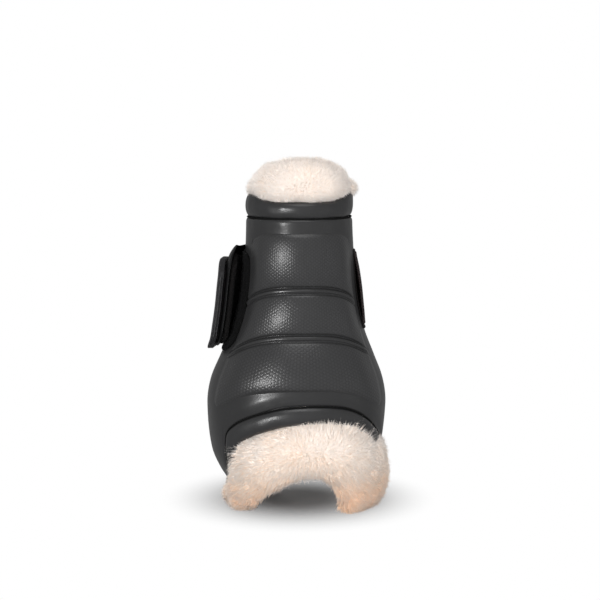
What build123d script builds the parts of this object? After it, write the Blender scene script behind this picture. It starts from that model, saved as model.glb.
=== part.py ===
from build123d import *
import os
from math import cos, radians, sin, sqrt

# Open-front tendon boot with a sheepskin lining.  Millimetres, +Z up.  While it is modelled the leg's
# axis is X = Y = 0, the padded back faces -Y and the open front +Y.  The finished model is moved so that
# its origin is the bottom centre of its bounding box.

# Leg-shaped body at the outer skin: height, half width, depth to the back, depth to the front, and how
# far its middle stands to the side
STATIONS = (
    (-6, 45.0, 50.0, 37.0, -2.5),
    (22, 50.0, 56.0, 41.0, -2.5),
    (43, 59.0, 60.0, 45.0, -2.5),
    (75, 62.8, 61.0, 47.0, -2.2),
    (93, 60.5, 58.5, 46.0, -2.0),
    (110, 53.8, 52.5, 44.0, -1.4),
    (127, 46.5, 47.0, 42.0, -0.6),
    (150, 40.5, 43.0, 41.0, 0.0),
    (185, 37.5, 41.0, 40.0, 0.0),
    (262, 36.5, 40.0, 38.0, 0.0),
)
LOFT_STEPS = 18

# Ring of sheepskin under the boot, in the same order
FLEECE_STATIONS = (
    (-6, 54.0, 52.0, 42.0, 3.0),
    (20, 59.5, 59.0, 45.0, 3.0),
    (50, 60.5, 63.0, 47.0, 2.5),
    (95, 60.0, 62.0, 47.0, 0.0),
)
FLOOR = 4.5

# Layers, as depths below (-) or above (+) the outer skin
SHELL = (0.0, -2.4)
TENDON_PAD = (-2.7, -5.2)
FOAM = (-2.7, -7.7)
LINING = (-8.0, -13.0)
COLLAR_ROLL = (1.4, -7.7)
BINDING = (0.5, -7.7)
TOP_FLEECE = (0.6, -14.0)
BOTTOM_FLEECE = (0.0, -19.0)
LOOP_PANEL = (1.7, 0.2)
ANCHOR_BAR = (0.9, 0.2)
THREAD_DEPTH = -1.1

# Layers of the elastic, above the leg shape filled out by STRAP_FILL
ELASTIC = (2.4, 1.1)

# Layers of the closure, above the leg shape filled out by CLOSURE_FILL
INNER_HOOKS = 7.2
INNER_FLAP = (9.0, 7.4)
OUTER_ELASTIC = (10.4, 9.2)
OUTER_HOOKS = (10.4, 9.2)
CLOSURE_TAB = (15.0, 10.6)

# How stiff straps bridge the hollow of the leg's sides: most they stand off, at what height, over what
# half length, the least they stand off, how far they stand off across the front, and how much deeper their
# curve is towards the back, which makes it flatter
STRAP_FILL = (2.6, 157.0, 26.0, 0.0, 3.8, 0.0)
CLOSURE_FILL = (3.8, 160.0, 33.0, -5.0, 0.0, 50.0)

# Edges of the boot
SEAM_GAP = 1.2
TOP_SEAM_BACK = 209.5
TOP_SEAM_FRONT = 205.5
TOP_ROLL_HEIGHT = 10.5
FLEECE_TOP_BACK = 249.0
FLEECE_TOP_FRONT = 236.0
LEFT_SEAM = ((-90, 86), (-60, 83), (-48, 75), (-37, 64), (-31, 52), (-29, 40), (-24, 28), (-10, 21.5), (90, 19))
RIGHT_SEAM = ((-90, 86), (-60, 83), (-42, 73), (-30, 64), (-18, 54), (-4, 42), (10, 31), (30, 23), (90, 19))
BOTTOM_ROLL_HEIGHT = 9.0
BOTTOM_ROLL_SETBACK = 4.5
LAYER_GAP = 0.3

# Open front: half width of the gap at heights, and the binding along it
FRONT_GAP = ((-20, 36), (30, 35), (80, 30), (130, 21), (170, 19), (280, 19))
BINDING_WIDTH = 4.0

# Arch under the back of the lower fleece
ARCH_HALF_WIDTH = 27.0
ARCH_HEIGHT = 31.0
ARCH_FRONT = -22.0

# Raised back panel, in front view, and the ribs across it
PANEL_BOTTOM = 92.0
PANEL_TOP = 199.0
PANEL_TOP_HALF = 30.0
PANEL_BOTTOM_HALF = 50.0
PANEL_CORNER = 14.0

# Closure on the left wing and elastic on the right
STRAP_LOW = 132.0
STRAP_HIGH = 182.0
STRAP_CUT_X = 27.0
STRAP_END_X = -24.0
ANCHOR_Y = -10.0
ANCHOR_BAR_WIDTH = 6.0
ANCHOR_BAR_OVERHANG = 3.0
FLAP_LOW = 115.0
FLAP_HIGH = 186.0
FLAP_START_X = -4.0
FLAP_REAR_Y = -18.0
TAB_LOW = 113.0
TAB_HIGH = 177.0
TAB_START_Y = 22.0
TAB_REAR_Y = -11.0
OUTER_ELASTIC_START_X = -13.0
OUTER_ELASTIC_END_Y = 13.0
END_RADIUS = 12.0
HOOK_MARGIN = 4.0
JOINT_GAP = 0.6
FOLD_CLEARANCE = 0.3

# Thread
THREAD = 0.8
STITCH_LENGTH = 3.6
STITCH_PITCH = 5.0
REACH = 160.0


def between(stations, height):
    """Smooth curve through the stations: the values after the height, at this height."""
    last = len(stations) - 1
    index = 0
    while index < last - 1 and height > stations[index + 1][0]:
        index += 1
    before = stations[max(index - 1, 0)]
    low = stations[index]
    high = stations[index + 1]
    after = stations[min(index + 2, last)]
    span = high[0] - low[0]
    t = (height - low[0]) / span
    values = []
    for column in range(1, len(low)):
        slope_low = (high[column] - before[column]) / (high[0] - before[0]) * span
        slope_high = (after[column] - low[column]) / (after[0] - low[0]) * span
        rise = high[column] - low[column]
        bend = t * (1 - t) * ((slope_low - rise) * (1 - t) - (slope_high - rise) * t)
        values.append(low[column] + rise * t + bend)
    return values


def oval(stations, height, grow):
    """Cross-section of the leg shape: half an ellipse behind and half an ellipse in front."""
    half_width, back, front, middle = between(stations, height)
    rear_arc = EllipticalCenterArc((0, 0), half_width + grow, back + grow, 180, arc_size=180)
    front_arc = EllipticalCenterArc((0, 0), half_width + grow, front + grow, 0, arc_size=180)
    return Pos(middle, 0, height) * make_face([rear_arc, front_arc])


def leg_shape(grow, stations=STATIONS, steps=LOFT_STEPS):
    """Solid leg shape, grown or shrunk all round."""
    low = stations[0][0]
    high = stations[-1][0]
    heights = [low + (high - low) * step / steps for step in range(steps + 1)]
    return loft([oval(stations, height, grow) for height in heights])


def filled_out(fill):
    """Stations of the leg shape round the closure, with the hollow of its sides filled out."""
    most, middle_height, reach, least, front_fill, back_fill = fill
    rows = []
    for height in range(100, 212, 8):
        half_width, back, front, middle = between(STATIONS, height)
        rise = max(most * (1 - ((height - middle_height) / reach) ** 2), least)
        rows.append((height, half_width + rise, back + back_fill, front + front_fill, middle))
    return tuple(rows)


STRAP_STATIONS = filled_out(STRAP_FILL)
CLOSURE_STATIONS = filled_out(CLOSURE_FILL)
SHAPES = {}


def shape(grow, stations=STATIONS):
    """A leg shape at one offset, made once."""
    if (grow, stations) not in SHAPES:
        SHAPES[grow, stations] = leg_shape(grow, stations)
    return SHAPES[grow, stations]


def layer(depths, stations=STATIONS):
    """Closed tube between two offsets of a leg shape."""
    outer, inner = depths
    return shape(outer, stations) - shape(inner, stations)


def side_block(points, low_x=-REACH, high_x=REACH):
    """Block with an outline in the YZ plane, from low_x to high_x."""
    outline = Polyline(*points, close=True)
    face = Plane.YZ * make_face(outline)
    return Pos(low_x, 0, 0) * extrude(face, amount=high_x - low_x)


def below_edge(seam, drop, setback, low_x):
    """Everything under one side's seam line, lowered by drop and set back, as a block along X."""
    points = [(y - setback, z - drop) for y, z in seam]
    edge = Spline(*points)
    walls = Polyline(points[-1], (points[-1][0], -REACH), (points[0][0], -REACH), points[0])
    face = Plane.YZ * make_face([edge, walls])
    return Pos(low_x, 0, 0) * extrude(face, amount=REACH)


def below_seam(drop, setback=0.0):
    """Everything under the lower seam, which falls more steeply on the left side than on the right."""
    return below_edge(LEFT_SEAM, drop, setback, -REACH) + below_edge(RIGHT_SEAM, drop, setback, 0)


def below_line(back_height, front_height, rise=0.0):
    """Everything under a straight line that runs from the boot's back to its front."""
    back = STATIONS[-3][2]
    points = [(-REACH, -REACH), (REACH, -REACH)]
    slope = (front_height - back_height) / (2 * back)
    points.append((REACH, back_height + rise + slope * (REACH + back)))
    points.append((-REACH, back_height + rise - slope * (REACH - back)))
    return side_block(points)


def front_opening(extra=0.0):
    """Wedge that opens the front from top to bottom, wider by extra on each side."""
    right = [(half + extra, z) for z, half in FRONT_GAP]
    left = [(-half - extra, z) for z, half in reversed(FRONT_GAP)]
    face = Plane.XZ * make_face(Polyline(*right, *left, close=True))
    return extrude(face, amount=-REACH)


def front_block(low_x, high_x, low_z, high_z):
    """Box over the front half."""
    box = Box(high_x - low_x, REACH, high_z - low_z, align=(Align.MIN, Align.MIN, Align.MIN))
    return Pos(low_x, 0, low_z) * box


def left_block(low_x, high_x, rear_y, front_y, low_z, high_z, radius):
    """Block over the left side whose rear end is rounded."""
    width = front_y - rear_y
    middle = (rear_y + front_y) / 2
    outline = Pos(middle, (low_z + high_z) / 2) * Rectangle(width, high_z - low_z)
    rear_corners = outline.vertices().sort_by(Axis.X)[:2]
    face = Plane.YZ * fillet(rear_corners, radius)
    return Pos(low_x, 0, 0) * extrude(face, amount=high_x - low_x)


def surface_point(angle, height, grow):
    """Point of the leg shape: angle 0 is the back centre, + turns towards the right side."""
    half_width, back, front, middle = between(STATIONS, height)
    depth = back if cos(radians(angle)) > 0 else front
    x = middle + (half_width + grow) * sin(radians(angle))
    y = -(depth + grow) * cos(radians(angle))
    return Vector(x, y, height)


def stitch(start, end):
    """One visible thread between two needle holes."""
    run = end - start
    plane = Plane(origin=(start + end) / 2, z_dir=run)
    return plane * Cylinder(THREAD / 2, run.length)


def stitch_row(path, pitch=STITCH_PITCH, length=STITCH_LENGTH):
    """Threads along a path, given as a function from 0 to 1."""
    samples = [path(step / 400) for step in range(401)]
    threads = []
    travelled = 0.0
    start = samples[0]
    next_start = 0.0
    drawing = False
    for before, after in zip(samples, samples[1:]):
        travelled += (after - before).length
        if not drawing and travelled >= next_start:
            start = after
            drawing = True
        if drawing and travelled >= next_start + length:
            threads.append(stitch(start, after))
            drawing = False
            next_start += pitch
    return Compound(children=threads)


def seam_height(seam, y):
    """Height of a lower seam line at a depth y, by straight spans between its points."""
    for (y0, z0), (y1, z1) in zip(seam, seam[1:]):
        if y0 <= y <= y1:
            return z0 + (z1 - z0) * (y - y0) / (y1 - y0)
    return seam[-1][1]


def top_line(y):
    """Height of the upper seam at a depth y."""
    back = STATIONS[-3][2]
    return TOP_SEAM_BACK + (TOP_SEAM_FRONT - TOP_SEAM_BACK) * (y + back) / (2 * back)


# Regions that the pieces share
under_top_seam = below_line(TOP_SEAM_BACK, TOP_SEAM_FRONT)
under_top_roll = below_line(TOP_SEAM_BACK, TOP_SEAM_FRONT, SEAM_GAP + TOP_ROLL_HEIGHT)
under_bottom_seam = below_seam(0)
under_bottom_roll = below_seam(BOTTOM_ROLL_HEIGHT, BOTTOM_ROLL_SETBACK)
gap_front = front_opening()
gap_and_bindings = front_opening(BINDING_WIDTH)


def wrap(depths):
    """Layer of the boot's wrap between the seams, with its front open for the bindings."""
    return layer(depths) & under_top_seam - under_bottom_seam - gap_and_bindings


def back_panel(extra=0.0):
    """Outline of the raised back panel, pushed through the back half."""
    low = PANEL_BOTTOM - extra
    high = PANEL_TOP + extra
    top_half = PANEL_TOP_HALF + extra
    bottom_half = PANEL_BOTTOM_HALF + extra
    corners = ((-bottom_half, low), (bottom_half, low), (top_half, high), (-top_half, high))
    outline = make_face(Polyline(*corners, close=True))
    rounded = fillet(outline.vertices(), PANEL_CORNER)
    return extrude(Plane.XZ * rounded, amount=REACH)


def outer_shell():
    return wrap(SHELL)


def tendon_pad():
    return wrap(TENDON_PAD) & back_panel()


def foam_core():
    pocket = layer((TENDON_PAD[0] + 0.4, TENDON_PAD[1] - LAYER_GAP)) & back_panel(LAYER_GAP)
    return wrap(FOAM) - pocket


def sheepskin_lining():
    return wrap(LINING)


def top_collar_roll():
    body = layer(COLLAR_ROLL) & under_top_roll - gap_front
    return body - below_line(TOP_SEAM_BACK, TOP_SEAM_FRONT, SEAM_GAP)


def top_fleece_collar():
    body = layer(TOP_FLEECE) & below_line(FLEECE_TOP_BACK, FLEECE_TOP_FRONT) - gap_front
    return body - below_line(TOP_SEAM_BACK, TOP_SEAM_FRONT, SEAM_GAP + TOP_ROLL_HEIGHT + LAYER_GAP)


def bottom_collar_roll():
    return layer(COLLAR_ROLL) & below_seam(SEAM_GAP) - under_bottom_roll - gap_front


def arch():
    """Horseshoe-shaped opening under the back, from the floor up."""
    half = ARCH_HALF_WIDTH
    curve = Spline((half + 6, -20), (half, 0), (half * 0.72, ARCH_HEIGHT * 0.72), (0, ARCH_HEIGHT),
                   (-half * 0.72, ARCH_HEIGHT * 0.72), (-half, 0), (-half - 6, -20))
    floor = Line((-half - 6, -20), (half + 6, -20))
    face = Plane.XZ * make_face([curve, floor])
    return Pos(0, ARCH_FRONT, FLOOR) * extrude(face, amount=REACH)


def bottom_fleece_collar():
    outer, inner = BOTTOM_FLEECE
    ring = leg_shape(outer, FLEECE_STATIONS, 8) - leg_shape(inner, FLEECE_STATIONS, 8)
    clear_of_roll = below_seam(BOTTOM_ROLL_HEIGHT + LAYER_GAP, BOTTOM_ROLL_SETBACK + LAYER_GAP)
    ring = ring & clear_of_roll - gap_front - arch()
    floor = Box(2 * REACH, 2 * REACH, REACH, align=(Align.CENTER, Align.CENTER, Align.MAX))
    return ring - Pos(0, 0, FLOOR) * floor


def front_binding(side):
    """Leather binding along one wing's front edge: side is -1 left, +1 right."""
    strip = layer(BINDING) & (front_opening(BINDING_WIDTH - LAYER_GAP) - gap_front)
    strip = strip & under_top_seam - under_bottom_seam
    half = Box(REACH, 2 * REACH, 2 * REACH, align=(Align.MIN, Align.CENTER, Align.CENTER))
    if side < 0:
        half = Pos(-REACH, 0, 0) * half
    return strip & half


def loop_panel():
    block = left_block(-REACH, STRAP_END_X - 2, FLAP_REAR_Y - 2, REACH, FLAP_LOW - 2, FLAP_HIGH + 2, END_RADIUS)
    return layer(LOOP_PANEL) & block - gap_and_bindings


def strap_anchor_bar():
    low = STRAP_LOW - ANCHOR_BAR_OVERHANG
    high = STRAP_HIGH + ANCHOR_BAR_OVERHANG
    bar = Box(REACH, ANCHOR_BAR_WIDTH, high - low, align=(Align.MIN, Align.MIN, Align.MIN))
    return layer(ANCHOR_BAR) & Pos(0, ANCHOR_Y, low) * bar


def elastic_anchor_panel():
    block = Box(REACH, REACH, STRAP_HIGH - STRAP_LOW, align=(Align.MIN, Align.MIN, Align.MIN))
    return layer(ELASTIC, STRAP_STATIONS) & Pos(STRAP_CUT_X + JOINT_GAP / 2, ANCHOR_Y, STRAP_LOW) * block


def elastic_strap():
    block = front_block(STRAP_END_X, STRAP_CUT_X - JOINT_GAP / 2, STRAP_LOW, STRAP_HIGH)
    return layer(ELASTIC, STRAP_STATIONS) & block


def inner_closure_flap():
    block = left_block(-REACH, FLAP_START_X, FLAP_REAR_Y, REACH, FLAP_LOW, FLAP_HIGH, END_RADIUS)
    return layer(INNER_FLAP, CLOSURE_STATIONS) & block


def inner_hook_pad():
    block = left_block(-REACH, STRAP_END_X - 2, FLAP_REAR_Y + HOOK_MARGIN, REACH,
                       FLAP_LOW + HOOK_MARGIN, FLAP_HIGH - HOOK_MARGIN, END_RADIUS - HOOK_MARGIN)
    return (shape(INNER_HOOKS, CLOSURE_STATIONS) - shape(LOOP_PANEL[0] + LAYER_GAP)) & block


def outer_elastic():
    block = left_block(-REACH, OUTER_ELASTIC_START_X, OUTER_ELASTIC_END_Y, REACH, TAB_LOW + 6, TAB_HIGH - 6, 1)
    return layer(OUTER_ELASTIC, CLOSURE_STATIONS) & block


def closure_tab():
    block = left_block(-REACH, 0, TAB_REAR_Y, TAB_START_Y, TAB_LOW, TAB_HIGH, END_RADIUS)
    return layer(CLOSURE_TAB, CLOSURE_STATIONS) & block


def outer_hook_pad():
    block = left_block(-REACH, 0, TAB_REAR_Y + 2, OUTER_ELASTIC_END_Y - 0.5,
                       TAB_LOW + HOOK_MARGIN, TAB_HIGH - HOOK_MARGIN, END_RADIUS - HOOK_MARGIN)
    return layer(OUTER_HOOKS, CLOSURE_STATIONS) & block


def wing_angle(height, half_gap):
    """Angle from the back centre to a wing's front edge."""
    half_width = between(STATIONS, height)[0]
    sine = (half_gap + BINDING_WIDTH) / half_width
    return 90 + sqrt(1 - sine * sine) * 45


def top_collar_stitching():
    reach = wing_angle(TOP_SEAM_BACK, 19)

    def path(t):
        angle = -reach + 2 * reach * t
        rough = surface_point(angle, TOP_SEAM_BACK, THREAD_DEPTH)
        height = top_line(rough.Y) + SEAM_GAP / 2
        return surface_point(angle, height, THREAD_DEPTH)
    return stitch_row(path)


def bottom_collar_stitching():
    def path(t):
        angle = -50 + 130 * t
        seam = LEFT_SEAM if angle < 0 else RIGHT_SEAM
        height = 60.0
        for _ in range(12):
            height = (height + seam_height(seam, surface_point(angle, height, 0).Y)) / 2
        return surface_point(angle, height - SEAM_GAP / 2, COLLAR_ROLL[0] + THREAD)
    return stitch_row(path)


def strap_anchor_stitching():
    """Two rows of thread along the bar that holds the elastic."""
    rows = []
    for y in (ANCHOR_Y + 1.4, ANCHOR_Y + ANCHOR_BAR_WIDTH - 1.4):
        def path(t, y=y):
            height = STRAP_LOW + 2 + (STRAP_HIGH - STRAP_LOW - 4) * t
            half_width, back, _, middle = between(STRAP_STATIONS, height)
            grow = ELASTIC[0] + THREAD / 2 + 0.2
            x = middle + (half_width + grow) * sqrt(1 - (y / (back + grow)) ** 2)
            return Vector(x, y, height)
        rows.append(stitch_row(path))
    return Compound(children=[thread for row in rows for thread in row.children])


def front_point(x, height, grow, stations):
    """Point on the front half of a leg shape at a given x."""
    half_width, _, front, middle = between(stations, height)
    y = (front + grow) * sqrt(1 - ((x - middle) / (half_width + grow)) ** 2)
    return Vector(x, y, height)


def flap_stitching():
    """Thread that joins the flap to the elastic strap."""
    grow = INNER_FLAP[0] + THREAD / 2 + 0.1

    def path(t):
        height = STRAP_LOW + 2 + (STRAP_HIGH - STRAP_LOW - 4) * t
        return front_point(FLAP_START_X - 3.0, height, grow, CLOSURE_STATIONS)
    return stitch_row(path)


def tab_stitching():
    """Thread that joins the moulded tab to the outer elastic."""
    grow = CLOSURE_TAB[0] + THREAD / 2 + 0.1

    def path(t):
        height = TAB_LOW + 8 + (TAB_HIGH - TAB_LOW - 16) * t
        half_width, _, front, middle = between(CLOSURE_STATIONS, height)
        y = TAB_START_Y - 3.0
        x = middle - (half_width + grow) * sqrt(1 - (y / (front + grow)) ** 2)
        return Vector(x, y, height)
    return stitch_row(path)


PIECES = {
    "outer_shell": outer_shell,
    "tendon_pad": tendon_pad,
    "foam_core": foam_core,
    "sheepskin_lining": sheepskin_lining,
    "top_fleece_collar": top_fleece_collar,
    "bottom_fleece_collar": bottom_fleece_collar,
    "top_collar_roll": top_collar_roll,
    "bottom_collar_roll": bottom_collar_roll,
    "front_binding_left": lambda: front_binding(-1),
    "front_binding_right": lambda: front_binding(1),
    "loop_panel": loop_panel,
    "strap_anchor_bar": strap_anchor_bar,
    "elastic_anchor_panel": elastic_anchor_panel,
    "elastic_strap": elastic_strap,
    "inner_closure_flap": inner_closure_flap,
    "inner_hook_pad": inner_hook_pad,
    "outer_elastic": outer_elastic,
    "closure_tab": closure_tab,
    "outer_hook_pad": outer_hook_pad,
    "top_collar_stitching": top_collar_stitching,
    "bottom_collar_stitching": bottom_collar_stitching,
    "strap_anchor_stitching": strap_anchor_stitching,
    "flap_stitching": flap_stitching,
    "tab_stitching": tab_stitching,
}

os.makedirs("parts", exist_ok=True)
made = {name: make() for name, make in PIECES.items()}
whole = Compound(children=[Compound(piece.solids()) for piece in made.values()]).bounding_box()
shift = Vector(-whole.center().X, -whole.center().Y, -whole.min.Z)
for name, piece in made.items():
    solids = piece.solids()
    moved = Compound(children=[Pos(*shift) * solid for solid in solids]) if len(solids) > 1 else Pos(*shift) * solids[0]
    export_step(moved, f"parts/{name}.step")

print("size", whole.size)
print("shift", shift)
FOLDS = (
    ("strap fold", STRAP_CUT_X, ELASTIC[0] + FOLD_CLEARANCE, STRAP_STATIONS),
    ("tab fold", OUTER_ELASTIC_START_X, OUTER_ELASTIC[0] + FOLD_CLEARANCE, CLOSURE_STATIONS),
)
for label, x, grow, stations in FOLDS:
    low = front_point(x, STRAP_LOW, grow, stations) + shift
    high = front_point(x, STRAP_HIGH, grow, stations) + shift
    middle = front_point(x, (STRAP_LOW + STRAP_HIGH) / 2, grow, stations) + shift
    bow = (middle - (low + high) / 2).Y
    print(label, "from", low, "to", high, "bowed", round(bow, 2), "along", (high - low).normalized())
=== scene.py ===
import math

import bmesh
import bpy
import numpy as np
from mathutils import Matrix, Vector
from mathutils.kdtree import KDTree


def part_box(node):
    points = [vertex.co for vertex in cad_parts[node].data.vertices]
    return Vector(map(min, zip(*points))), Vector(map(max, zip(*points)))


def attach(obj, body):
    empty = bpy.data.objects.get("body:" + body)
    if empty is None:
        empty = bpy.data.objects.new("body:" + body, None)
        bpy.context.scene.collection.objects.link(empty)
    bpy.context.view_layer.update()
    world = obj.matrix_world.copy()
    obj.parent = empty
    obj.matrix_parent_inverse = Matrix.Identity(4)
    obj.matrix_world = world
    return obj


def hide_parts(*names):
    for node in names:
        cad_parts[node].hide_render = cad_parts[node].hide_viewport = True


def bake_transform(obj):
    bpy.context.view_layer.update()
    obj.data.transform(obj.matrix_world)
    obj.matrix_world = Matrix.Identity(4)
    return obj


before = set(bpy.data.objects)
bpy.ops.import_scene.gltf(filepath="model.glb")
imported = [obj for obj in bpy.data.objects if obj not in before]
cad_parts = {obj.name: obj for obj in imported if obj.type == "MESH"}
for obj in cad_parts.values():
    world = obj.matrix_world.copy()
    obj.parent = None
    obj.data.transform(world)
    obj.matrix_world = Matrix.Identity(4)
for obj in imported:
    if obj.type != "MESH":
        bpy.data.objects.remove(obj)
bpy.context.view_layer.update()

# ---------------------------------------------------------------- shape of the boot, millimetres
# Height, half width, depth to the back, depth to the front and sideways middle of the outer skin
STATIONS = np.array((
    (-6, 45.0, 50.0, 37.0, -2.5),
    (22, 50.0, 56.0, 41.0, -2.5),
    (43, 59.0, 60.0, 45.0, -2.5),
    (75, 62.8, 61.0, 47.0, -2.2),
    (93, 60.5, 58.5, 46.0, -2.0),
    (110, 53.8, 52.5, 44.0, -1.4),
    (127, 46.5, 47.0, 42.0, -0.6),
    (150, 40.5, 43.0, 41.0, 0.0),
    (185, 37.5, 41.0, 40.0, 0.0),
    (262, 36.5, 40.0, 38.0, 0.0),
))
# The sheepskin ring under the boot
FLEECE_STATIONS = np.array((
    (-6, 54.0, 52.0, 42.0, 3.0),
    (20, 59.5, 59.0, 45.0, 3.0),
    (50, 60.5, 63.0, 47.0, 2.5),
    (95, 60.0, 62.0, 47.0, 0.0),
))
FLOOR = 4.5
# Half width of the open front at heights
FRONT_GAP = np.array(((-20, 36.0), (30, 35.0), (80, 30.0), (130, 21.0), (170, 19.0), (280, 19.0)))
BINDING_WIDTH = 4.0
# Where the seams and rolls meet the front edges, in degrees from the back
WING_ANGLE = 150.0

SEAM_CLEARANCE = 0.35
TOP_SEAM = 209.5
BOTTOM_SEAM = 83.5
PANEL_TOP = 199.0
UPPER_RIB = 161.0
LOWER_RIB = 129.0
PANEL_BOTTOM = 94.5
PANEL_ANGLE = 66.0
PILLOW_HEIGHT = 3.8
PANEL_STEP = 0.9
RIB_HEIGHT = 1.2
LOWER_BAND_TUCK = 1.6
GROOVE_DEPTH = 1.6

STRAP_LOW = 132.0
STRAP_HIGH = 182.0
FLAP_LOW = 115.0
FLAP_HIGH = 186.0
FLAP_REAR_Y = -18.0
FLAP_START_X = -4.0
TAB_LOW = 113.0
TAB_HIGH = 177.0
TAB_START_Y = 22.0
TAB_REAR_Y = -11.0
OUTER_ELASTIC_START_X = -13.0
OUTER_ELASTIC_END_Y = 13.0
STRAP_CUT_X = 27.0
STRAP_END_X = -24.0
JOINT_GAP = 0.6
ANCHOR_Y = -10.0
ANCHOR_BAR_WIDTH = 6.0

# Layers, as depths below (-) or above (+) the outer skin
SHELL_INSIDE = -2.4
PAD_DEPTH = (-2.8, -5.2)
PAD_ANGLE = 60.0
PAD_LOW = 104.0
PAD_HIGH = 197.0
FOAM_DEPTH = (-2.7, -7.7)
LINING_BACKING = (-8.1, -9.4)
LOOP_PANEL = (1.7, 0.3)
ANCHOR_BAR = (0.9, 0.2)

# Layers of the elastic and of the closure, above the leg shape filled out as below
ELASTIC = (2.0, 1.1)
INNER_FLAP = (9.0, 7.4)
OUTER_HOOKS = (10.4, 9.2)
OUTER_ELASTIC = (10.4, 9.2)
CLOSURE_TAB = (15.0, 10.6)

# How stiff straps bridge the hollow of the leg's sides: most they stand off, at what height, over what
# half length, the least they stand off, how far they stand off across the front, and how much deeper their
# curve is towards the back, which makes it flatter
STRAP_FILL = (2.6, 157.0, 26.0, 0.0, 3.8, 0.0)
CLOSURE_FILL = (3.8, 160.0, 33.0, -5.0, 0.0, 50.0)

# Rounded radius that turns angles into lengths along the straps, and along the skin
STRAP_RADIUS = 46.0
SKIN_RADIUS = 52.0

MM = 0.001
SEED = 7

# The leg's axis in the row frame, from CAD faces whose own places are known
_, strap_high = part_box("elastic_strap")
tab_low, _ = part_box("closure_tab")
LEG_AXIS = np.array((
    strap_high[0] / MM - (STRAP_CUT_X - JOINT_GAP / 2),
    tab_low[1] / MM - TAB_REAR_Y,
    tab_low[2] / MM - TAB_LOW,
))


# ---------------------------------------------------------------- shared shape functions
def between(stations, height):
    """Smooth curve through the stations, for an array of heights: one column per value."""
    height = np.asarray(height, float)
    levels = stations[:, 0]
    last = len(levels) - 1
    low = np.clip(np.searchsorted(levels, height, side="left") - 1, 0, last - 1)
    high = low + 1
    before = np.maximum(low - 1, 0)
    after = np.minimum(high + 1, last)
    span = levels[high] - levels[low]
    t = ((height - levels[low]) / span)[..., None]
    values = stations[:, 1:]
    rise = values[high] - values[low]
    slope_low = (values[high] - values[before]) * (span / (levels[high] - levels[before]))[..., None]
    slope_high = (values[after] - values[low]) * (span / (levels[after] - levels[low]))[..., None]
    bend = t * (1 - t) * ((slope_low - rise) * (1 - t) - (slope_high - rise) * t)
    return values[low] + rise * t + bend


def filled_out(fill):
    """Stations of the leg shape round the closure, with the hollow of its sides filled out."""
    most, middle_height, reach, least, front_fill, back_fill = fill
    height = np.arange(100.0, 212.0, 8.0)
    values = between(STATIONS, height)
    values[:, 0] += np.maximum(most * (1 - ((height - middle_height) / reach) ** 2), least)
    values[:, 1] += back_fill
    values[:, 2] += front_fill
    return np.column_stack((height, values))


def smoothstep(low, high, value):
    """0 below low, 1 above high and smooth between; low may be the larger one."""
    t = np.clip((np.asarray(value, float) - low) / (high - low), 0, 1)
    return t * t * (3 - 2 * t)


def skin(angle, height, grow=0.0, stations=STATIONS):
    """Points on the leg shape. Angle is in degrees from the back centre, + towards the right side."""
    angle, height, grow = np.broadcast_arrays(np.asarray(angle, float), height, grow)
    half_width, back, front, middle = np.moveaxis(between(stations, height), -1, 0)
    turn = np.radians(angle)
    depth = np.where(np.cos(turn) > 0, back, front)
    x = middle + (half_width + grow) * np.sin(turn)
    y = -(depth + grow) * np.cos(turn)
    return np.stack((x, y, height), axis=-1)


def front_angle(height, inset=0.0, stations=STATIONS):
    """Angle of a wing's front edge, held back by inset millimetres."""
    half_gap = np.interp(height, FRONT_GAP[:, 0], FRONT_GAP[:, 1]) + inset
    half_width = between(stations, height)[..., 0]
    return 180 - np.degrees(np.arcsin(np.clip(half_gap / half_width, 0, 0.98)))


def drop(angle):
    """How far the arched lines across the back have come down at an angle, levelling off at the sides."""
    fall = 1 - np.cos(np.radians(angle))
    knee = 0.55
    soft = 0.17
    return np.where(fall < knee, fall, knee + soft * (1 - np.exp(-(fall - knee) / soft))) ** 1.4


# The lower seam from the left wing's front edge round the back to the right one: angle and height
SEAM_POINTS = np.array((
    (0, -170, 19.0), (1, -130, 19.5), (2, -95, 20.0), (3, -74, 21.5), (4, -62, 27.0), (5, -58.5, 40.0),
    (6, -57, 53.0), (7, -52, 64.0), (8, -37, 73.5), (9, -16, 81.3), (10, 0, BOTTOM_SEAM), (11, 16, 83.2),
    (12, 32, 80.3), (13, 47, 73.0), (14, 61, 63.0), (15, 73, 53.0), (16, 86, 40.0), (17, 100, 29.0),
    (18, 120, 22.0), (19, 145, 19.5), (20, 170, 19.0),
))


def seam_path(steps):
    """Smooth run of angles and heights along the lower seam."""
    return np.moveaxis(between(SEAM_POINTS, np.linspace(0, 20, steps)), -1, 0)


SEAM_RUN = seam_path(801)


def bottom_seam(angle):
    """Height of the lower seam: high at the back, steep on the left side and gentler on the right."""
    return np.interp(angle, *SEAM_RUN)


def top_seam(angle):
    """Height of the upper seam, which dips towards the front."""
    return TOP_SEAM - 2.5 * (1 - np.cos(np.radians(angle)))


def rounded_end(t, least=0.0004):
    """Size of a piece over its rounded end: a quarter circle as t goes from 0 to 1."""
    return np.sqrt(np.maximum(1 - (1 - np.clip(t, 0, 1)) ** 2, least))


def round_section(sides, power):
    """Cosines and sines round a ring of points; a power under 1 makes the section fuller than a circle."""
    turn = np.arange(sides) * 2 * math.pi / sides
    return (np.sign(wave) * np.abs(wave) ** power for wave in (np.cos(turn), np.sin(turn)))


def unit(vectors, least=1e-9):
    """Vectors at length 1; those shorter than least are only divided by it."""
    return vectors / np.maximum(np.linalg.norm(vectors, axis=-1, keepdims=True), least)


def distance_along(points):
    """Length of a run of points up to each of them."""
    return np.concatenate(([0], np.cumsum(np.linalg.norm(np.diff(points, axis=0), axis=1))))


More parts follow.
